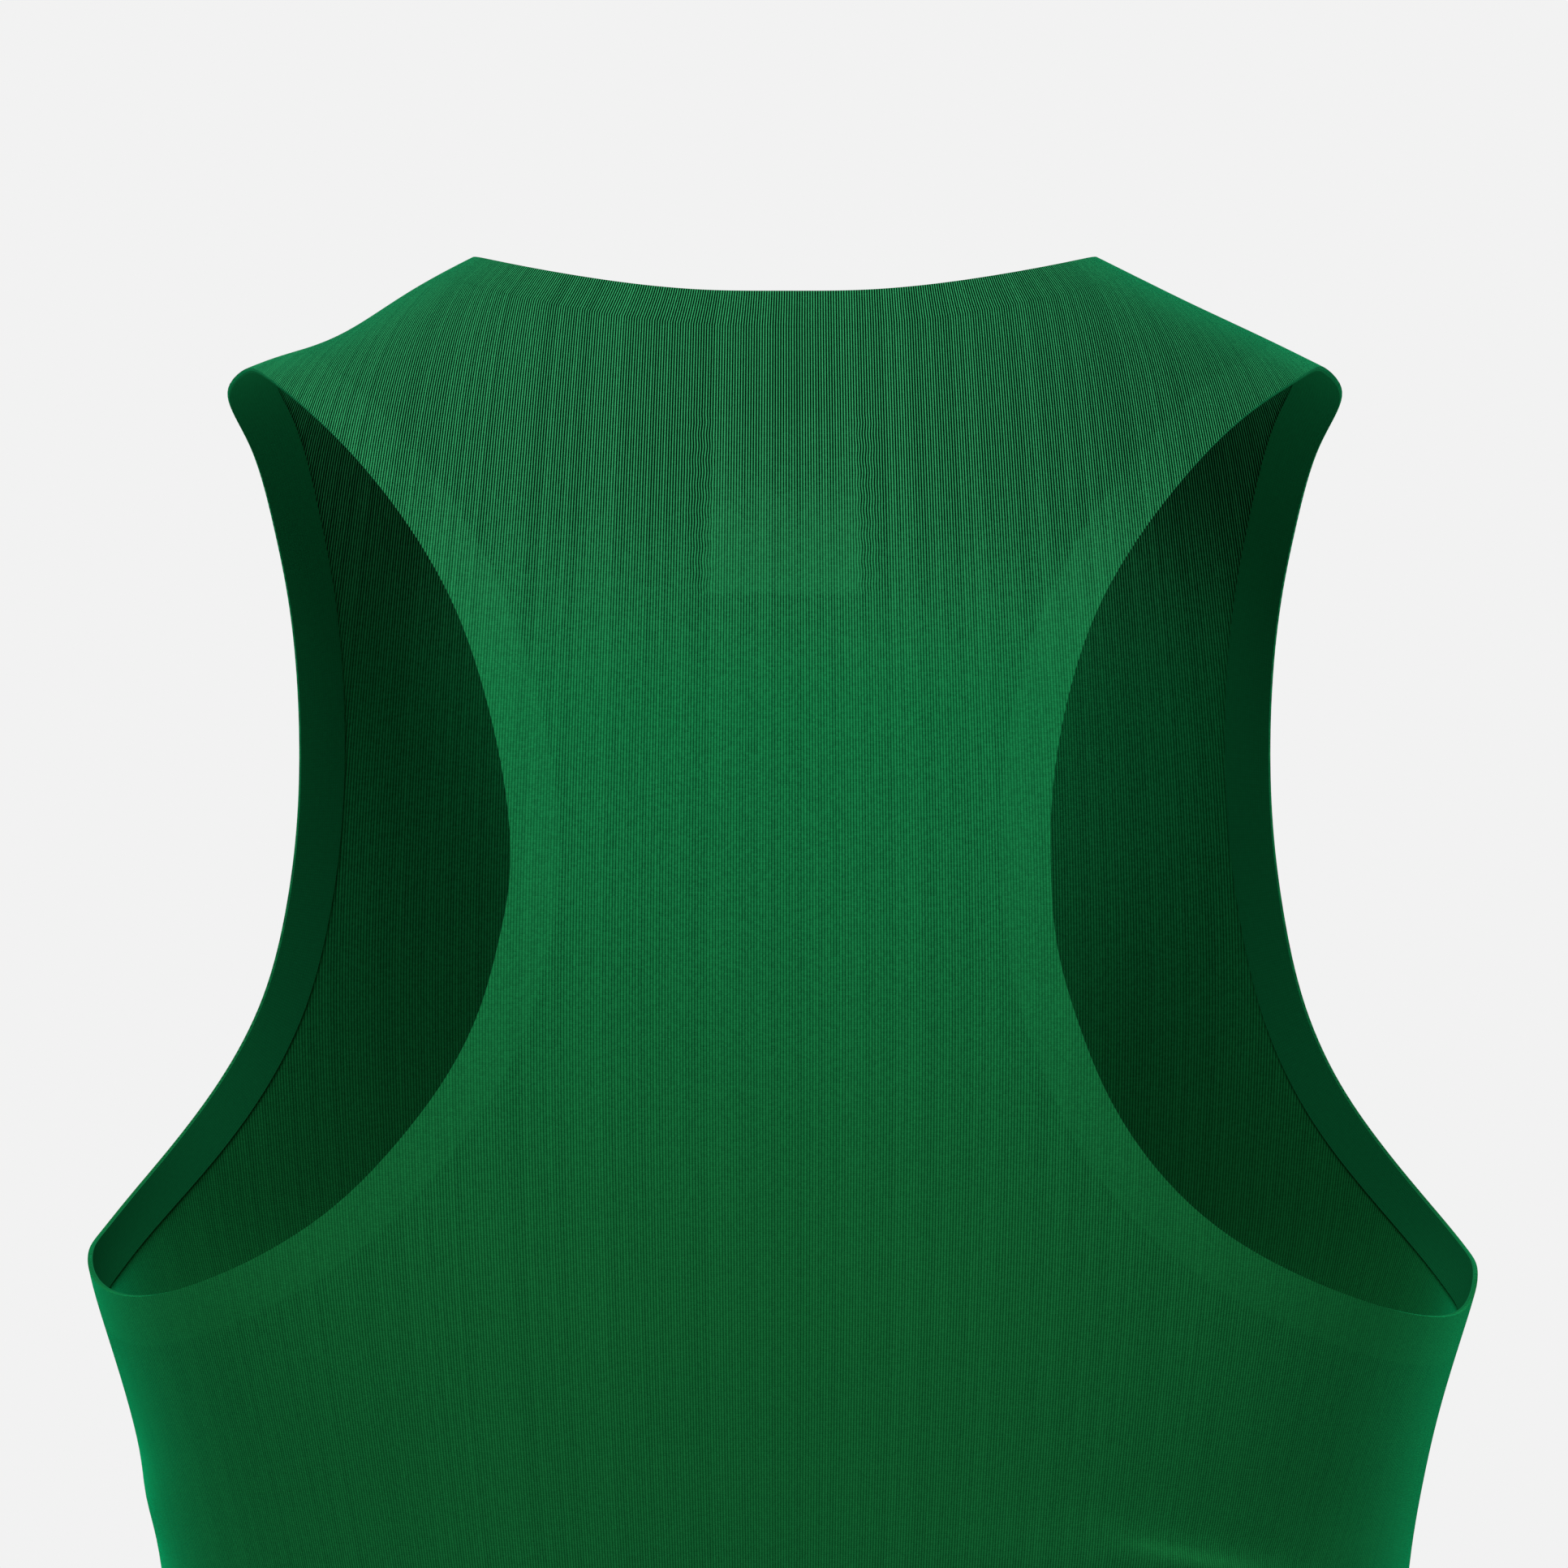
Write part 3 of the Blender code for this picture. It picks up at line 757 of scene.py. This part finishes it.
def shell(name, outer, outward, thickness, maps, finish):
    """A closed wall of cloth: its outer face runs through a net of points, and it lies inside them."""
    rows, columns = outer.shape[:2]
    outer_points = (outer * MM).reshape(-1, 3)
    inner_points = ((outer - outward * thickness) * MM).reshape(-1, 3)
    work = bmesh.new()
    bmesh.ops.create_grid(work, x_segments=columns - 1, y_segments=rows - 1, size=1)
    spot = work.verts.layers.int.new("spot")
    for number, vert in enumerate(work.verts):
        vert[spot] = number
        vert.co = outer_points[number]
    for title, values in maps.items():
        layer = work.loops.layers.uv.new(title)
        pairs = values.reshape(-1, 2)
        for face in work.faces:
            for loop in face.loops:
                loop[layer].uv = pairs[loop.vert[spot]]
    bmesh.ops.remove_doubles(work, verts=work.verts, dist=SAME_POINT * MM)
    copied = bmesh.ops.extrude_face_region(work, geom=work.faces[:], use_keep_orig=True)
    for vert in (item for item in copied["geom"] if isinstance(item, bmesh.types.BMVert)):
        vert.co = inner_points[vert[spot]]
    bmesh.ops.recalc_face_normals(work, faces=work.faces)
    for face in work.faces:
        face.smooth = True
    for edge in work.edges:
        edge.smooth = edge.calc_face_angle(0) < RIM_ANGLE
    work.verts.layers.int.remove(spot)
    mesh = bpy.data.meshes.new(name)
    work.to_mesh(mesh)
    work.free()
    mesh.materials.append(finish)
    return scene_object(name, mesh)


def cloth_panel(view, finish):
    """The back or the front, with maps for its knit, for the strips that show through and for its seams."""
    net = panel_net(view)
    angles, heights = net[..., 0], net[..., 1]
    turns = panel_turn(view, angles)
    apart = np.array((0, BUTT if view == "back" else -BUTT, 0))
    points, outward = place(turns, heights), facing(turns, heights)
    neck_depth = depth_from(NECKS.values(), points)
    armhole_depth = depth_from(ARMHOLES.values(), points)
    table = ring_reach(view)
    ribs = rib_count(table, angles, heights, neck_depth)
    seam_depth = depth_from_seams(table, net, points)
    maps = {"knit": np.stack((ribs, heights * COURSES_PER_MM), axis=-1),
            "bands": np.stack((neck_depth, armhole_depth), axis=-1),
            "seams": np.stack((seam_depth, np.zeros_like(seam_depth)), axis=-1)}
    return shell(view + "_cloth", points + apart, outward, CLOTH, maps, finish)


def facing_strip(name, line, wide, finish):
    """A strip bonded under the cut edge. The line is a closed list of edges and the ways along them."""
    widths = np.linspace(0, wide, STRIP_COLUMNS + 1)
    spots = np.concatenate([np.stack(edge.inland(ways[:, None], widths), axis=-1) for edge, ways in line])
    spots[-1] = spots[0]
    turns, heights = spots[..., 0], spots[..., 1]
    outward = facing(turns, heights)
    outer = place(turns, heights) - outward * (CLOTH + BOND)
    along, across = np.meshgrid(np.arange(len(spots)) * STRIP_STEP, widths, indexing="ij")
    return shell(name, outer, outward, STRIP, {"knit": np.stack((along, across), axis=-1)}, finish)


def edge_ways(edge):
    """Ways evenly spaced along an edge, for a strip's net."""
    return np.linspace(edge.start, edge.end, round((edge.end - edge.start) / STRIP_STEP) + 1)


def armhole_line(side):
    """All round one armhole."""
    return [(ARMHOLES[side], edge_ways(ARMHOLES[side]))]


def neck_line():
    """From the front's centre over the left shoulder to the back's centre, and over the right one."""
    return [(NECKS[1], edge_ways(NECKS[1])[::-1]), (NECKS[-1], edge_ways(NECKS[-1])[1:])]


# Finishes
class Wire:
    """A socket of a finish, so that the maths on it can be written as plain Python."""

    def __init__(self, finish, socket):
        self.finish = finish
        self.socket = socket

    def __add__(self, other):
        return self.finish.maths("ADD", self, other)

    def __sub__(self, other):
        return self.finish.maths("SUBTRACT", self, other)

    def __rsub__(self, other):
        return self.finish.maths("SUBTRACT", other, self)

    def __mul__(self, other):
        return self.finish.maths("MULTIPLY", self, other)

    def __pow__(self, other):
        return self.finish.maths("POWER", self, other)

    __radd__ = __add__
    __rmul__ = __mul__

    def size(self):
        """The value without its sign."""
        return self.finish.maths("ABSOLUTE", self)

    def rounded(self):
        """The nearest whole number."""
        return self.finish.maths("ROUND", self)

    def wave(self):
        """1 where the value is whole, 0 half way between."""
        return self.finish.maths("COSINE", self * (2 * math.pi)) * 0.5 + 0.5

    def rise(self, start, end):
        """Runs smoothly from 0 at start to 1 at end."""
        settings = {"interpolation_type": "SMOOTHSTEP"}
        if start < end:
            return self.finish.add("ShaderNodeMapRange", settings, (self, start, end, 0.0, 1.0))
        return self.finish.add("ShaderNodeMapRange", settings, (self, end, start, 1.0, 0.0))


class Finish:
    """A material whose nodes are added one at a time."""

    def __init__(self, name):
        self.material = bpy.data.materials.new(name)
        self.material.use_nodes = True
        self.nodes = self.material.node_tree.nodes
        self.links = self.material.node_tree.links
        self.shader = self.nodes["Principled BSDF"]

    def add(self, kind, settings=None, values=(), output=0):
        """A new node's output. Its settings are set first, then its sockets are filled."""
        node = self.nodes.new(kind)
        for setting, value in (settings or {}).items():
            setattr(node, setting, value)
        self.fill(node, values)
        return Wire(self, node.outputs[output])

    def fill(self, node, values):
        """Gives sockets their values or links, by name, or in their order."""
        for key, value in (values.items() if isinstance(values, dict) else enumerate(values)):
            if isinstance(value, Wire):
                self.links.new(value.socket, node.inputs[key])
            else:
                node.inputs[key].default_value = value

    def maths(self, operation, *values):
        """A number worked out from others."""
        return self.add("ShaderNodeMath", {"operation": operation}, values)

    def parts(self, vector):
        """The three numbers of a vector."""
        return [self.add("ShaderNodeSeparateXYZ", None, (vector,), axis) for axis in range(3)]

    def map(self, title):
        """The two numbers of one of the piece's own maps."""
        return self.parts(self.add("ShaderNodeUVMap", {"uv_map": title}))[:2]

    def place(self):
        """Where a point lies, in millimetres."""
        node = self.nodes.new("ShaderNodeTexCoord")
        return [axis * (1 / MM) for axis in self.parts(Wire(self, node.outputs["Object"]))]

    def colour_between(self, first, second, share):
        """The node itself holds the share between 0 and 1."""
        return self.add("ShaderNodeMix", {"data_type": "RGBA"}, {0: share, 6: first, 7: second}, 2)

    def relief(self, height, strength, depth):
        """The direction that the surface faces once it has fine relief of a depth in millimetres."""
        return self.add("ShaderNodeBump", None,
                        {"Strength": strength, "Distance": depth * MM, "Height": height})

    def grain(self, x, y, scale, detail=2.0):
        """Soft noise about 0, from -0.5 to 0.5."""
        vector = self.add("ShaderNodeCombineXYZ", None, (x, y, 0.0))
        return self.add("ShaderNodeTexNoise", None,
                        {"Vector": vector, "Scale": scale, "Detail": detail}) - 0.5

    def chance(self, *values):
        """A number about 0 that differs from one whole value, or pair of them, to the next."""
        cell = self.add("ShaderNodeCombineXYZ", None, [value.rounded() for value in values])
        return self.add("ShaderNodeTexWhiteNoise", {"noise_dimensions": "3D"}, {"Vector": cell}) - 0.5


def patch_marks(x, y, z):
    """Where the inside patch shows through the back, and where the ribs ripple beside it."""
    aside = (x - PATCH_MIDDLE).size()
    level = z.rise(*PATCH_BOTTOM) * z.rise(*PATCH_TOP) * y.rise(*ON_BACK)
    patch = aside.rise(*PATCH_SIDES) * level * (z.rise(*PATCH_FADE) * (1 - PATCH_FAINT) + PATCH_FAINT)
    return patch, aside.rise(*RIPPLE_INSIDE) * aside.rise(*RIPPLE_OUTSIDE) * level


def crease_highlight(x, y, z):
    """A painted highlight on the ridge of the small crease, low on the right of the back."""
    above = z - x * CREASE_SLOPE - CREASE_HEIGHT
    return (above.rise(*CREASE_BELOW) * above.rise(*CREASE_ABOVE)
            * x.rise(*CREASE_INNER) * x.rise(*CREASE_OUTER) * y.rise(*ON_BACK))


def cloth_finish(name):
    """Fine ribbed knit: open and strongly marked over the shoulders, closer and softer below.

    Its gaps carry painted shade and its open crests a painted highlight. Painted shade darkens it towards
    the bottom and on the right shoulder, and a painted highlight lies along the small crease.
    """
    finish = Finish(name)
    ribs, courses = finish.map("knit")
    neck_depth, armhole_depth = finish.map("bands")
    seam_depth = finish.map("seams")[0]
    x, y, z = finish.place()

    armhole_strip = armhole_depth.rise(*ARMHOLE_STRIP)
    strip_end = (neck_depth.rise(NECK_STRIP_WIDE - NECK_LINE_HALF, NECK_STRIP_WIDE)
                 * neck_depth.rise(NECK_STRIP_WIDE + NECK_LINE_HALF, NECK_STRIP_WIDE))
    patch, beside_patch = patch_marks(x, y, z)
    seam = seam_depth.rise(*SEAM_GROOVE)
    seam_cloth = seam_depth.rise(*SEAM_CLOTH)
    # Painted shade that darkens the right shoulder and softens its ribs
    right_shoulder_shade = z.rise(*RIGHT_SHOULDER_SHADE_UP) * x.rise(*RIGHT_SHOULDER_SHADE_OUT)
    open_knit_and_highlight = z.rise(*OPEN_KNIT_AND_HIGHLIGHT) * (1 - seam_cloth)
    middle_cloth = z.rise(*MIDDLE_CLOTH) * (1 - open_knit_and_highlight)

    strength = open_knit_and_highlight * RIBS_OPEN + z.rise(*HIGH_CLOTH) * RIBS_HIGH + RIBS_PLAIN
    strength = strength * (1 - armhole_strip * (1 - open_knit_and_highlight) * STRIP_CALM) * (1 - patch * PATCH_CALM)
    strength = strength * (1 - seam_cloth * SEAM_CALM) * (1 - right_shoulder_shade * RIGHT_SHOULDER_SHADE_CALM)

    ribs = ribs + beside_patch * ((z * (1 / RIPPLE)).wave() - 0.5) * RIPPLE_RIBS
    rib = ribs.wave() ** (open_knit_and_highlight * OPEN_CREST + 1)
    stitch = (courses + finish.chance(ribs) * STITCH_STRAY).wave()
    fine = finish.grain(ribs * FINE_ACROSS, courses * FINE_ALONG, 1.0)
    marks = {
        "fine grain": fine,
        "stitches": stitch - 0.5,
        "clouds": finish.grain(x, z, CLOUD_SCALE, 3.0),
        "armhole strip": armhole_strip,
        "patch": patch,
        "neck line": strip_end,
        "open knit": open_knit_and_highlight,
        "seam": seam,
        "seam edges": seam_depth.rise(*SEAM_EDGES),
        "seam cloth": seam_cloth,
        "right shoulder shade": right_shoulder_shade,
        "crease": crease_highlight(x, y, z),
    }
    tone = (rib - 0.5) * strength + finish.chance(ribs) * strength * RIB_CHANCE + 0.5
    tone = tone + finish.chance(ribs, courses) * (middle_cloth * MIDDLE_CHANCE + STITCH_CHANCE)
    for title, share in TONES.items():
        tone = tone + marks[title] * share

    # Towards the bottom the crests darken with painted shade, and the gaps' painted shade eases a little
    lower_shade = z.rise(*LOWER_SHADE)
    # The gap colour is painted shade in the grooves between the ribs
    gap = finish.colour_between(GAP_SHADE_COLOUR, LOW_GAP_SHADE_COLOUR, lower_shade)
    crest = finish.colour_between(CREST_COLOUR, SHADED_LOW_CREST_COLOUR, lower_shade)
    # Paler, greyer crests where the knit is open: a painted highlight of the overhead light
    crest = finish.colour_between(crest, OPEN_CREST_HIGHLIGHT_COLOUR, open_knit_and_highlight)
    height = rib * strength + fine * FINE_RELIEF + stitch * STITCH_RELIEF + seam * SEAM_RELIEF
    finish.fill(finish.shader, {"Base Color": finish.colour_between(gap, crest, tone),
                                "Roughness": rib * CREST_ROUGH + CLOTH_ROUGH,
                                "Normal": finish.relief(height, *CLOTH_RELIEF), **CLOTH_GLOSS})
    return finish.material


def strip_finish(name):
    """The bonded strip: smooth, close-knit tape."""
    finish = Finish(name)
    along, across = finish.map("knit")
    stitch = (along * TAPE_STITCHES).wave() * (across * TAPE_STITCHES).wave()
    grain = finish.grain(along, across, TAPE_GRAIN)
    tone = stitch * TAPE_STITCH_TONE + grain * TAPE_GRAIN_TONE + TAPE_TONE
    finish.fill(finish.shader, {"Base Color": finish.colour_between(TAPE_DARK, TAPE_LIGHT, tone),
                                "Roughness": grain * TAPE_GRAIN_ROUGH + TAPE_ROUGH,
                                "Normal": finish.relief(stitch, *TAPE_RELIEF),
                                "Specular IOR Level": 0.0})
    return finish.material


def floor_finish(name):
    """Plain and pale, with a little glow of its own that evens out the light on it."""
    finish = Finish(name)
    x, y = finish.place()[:2]
    speckle = finish.grain(x, y, FLOOR_SPECKLE)
    finish.fill(finish.shader, {"Base Color": FLOOR_COLOUR,
                                "Roughness": speckle * SPECKLE_ROUGH + FLOOR_ROUGH,
                                "Emission Color": FLOOR_GLOW_COLOUR, "Emission Strength": FLOOR_GLOW})
    return finish.material


# The dressed part and its room
def declare(piece, node, slot, flat, area):
    """Parents a piece to the root body and hides the solid that it stands in for."""
    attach(piece, "root")
    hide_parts(node)


def dress():
    cloth = cloth_finish("ribbed_cloth")
    tape = strip_finish("facing_tape")
    for view in ("back", "front"):
        declare(cloth_panel(view, cloth), view + "_panel", "cloth", *FLAT[view])
    declare(facing_strip("neck_facing", neck_line(), NECK_STRIP_WIDE, tape),
            "neck_tape", "facing", *FLAT["neck"])
    for side, name in ((1, "left"), (-1, "right")):
        declare(facing_strip("armhole_facing_" + name, armhole_line(side), ARMHOLE_STRIP_WIDE, tape),
                "armhole_tape_" + name, "facing", *FLAT[name])


def soft_light(name, place_at, wide, tall, power):
    """An oblong lamp that faces the top's upper half."""
    lamp = bpy.data.lights.new(name, "AREA")
    lamp.shape = "RECTANGLE"
    lamp.size, lamp.size_y = wide, tall
    lamp.energy = power
    light = scene_object(name, lamp)
    light.location = place_at
    light.rotation_euler = (Vector(LIGHT_AIM) - Vector(place_at)).to_track_quat("-Z", "Y").to_euler()


def pale_surround():
    """An even, near white surround, which lights the cloth less than the camera sees of it."""
    world = bpy.data.worlds.new("surround")
    bpy.context.scene.world = world
    world.use_nodes = True
    nodes, links = world.node_tree.nodes, world.node_tree.links
    seen = nodes["Background"]
    seen.inputs["Color"].default_value = (SURROUND, SURROUND, SURROUND, 1)
    lighting = nodes.new("ShaderNodeBackground")
    lighting.inputs["Strength"].default_value = SURROUND_LIGHT
    choice = nodes.new("ShaderNodeMixShader")
    links.new(nodes.new("ShaderNodeLightPath").outputs["Is Camera Ray"], choice.inputs[0])
    links.new(lighting.outputs[0], choice.inputs[1])
    links.new(seen.outputs[0], choice.inputs[2])
    links.new(choice.outputs[0], nodes["World Output"].inputs["Surface"])


def pale_floor():
    """A round floor that belongs to the room, not to the part."""
    work = bmesh.new()
    bmesh.ops.create_circle(work, cap_ends=True, segments=FLOOR_SEGMENTS, radius=FLOOR_RADIUS * MM)
    bmesh.ops.translate(work, verts=work.verts, vec=(0, 0, FLOOR * MM))
    mesh = bpy.data.meshes.new("floor")
    work.to_mesh(mesh)
    work.free()
    mesh.materials.append(floor_finish("pale_floor"))
    scene_object("floor", mesh)


def back_camera():
    """Looks level along -Y at the back, framed as the photograph is."""
    lens = bpy.data.cameras.new("camera")
    lens.sensor_width = SENSOR
    lens.lens = SENSOR * CAMERA_AWAY / FRAME_WIDE
    camera = scene_object("camera", lens)
    camera.location = (CAMERA_ASIDE * MM, CAMERA_AWAY * MM, CAMERA_HEIGHT * MM)
    camera.rotation_euler = (math.pi / 2, 0, math.pi)
    bpy.context.scene.camera = camera


def studio():
    """A pale room: an even, near white surround, a pale floor and large soft lights."""
    bpy.context.scene.view_settings.view_transform = "Standard"
    pale_surround()
    pale_floor()
    for light in LIGHTS:
        soft_light(*light)
    back_camera()


studio()
dress()
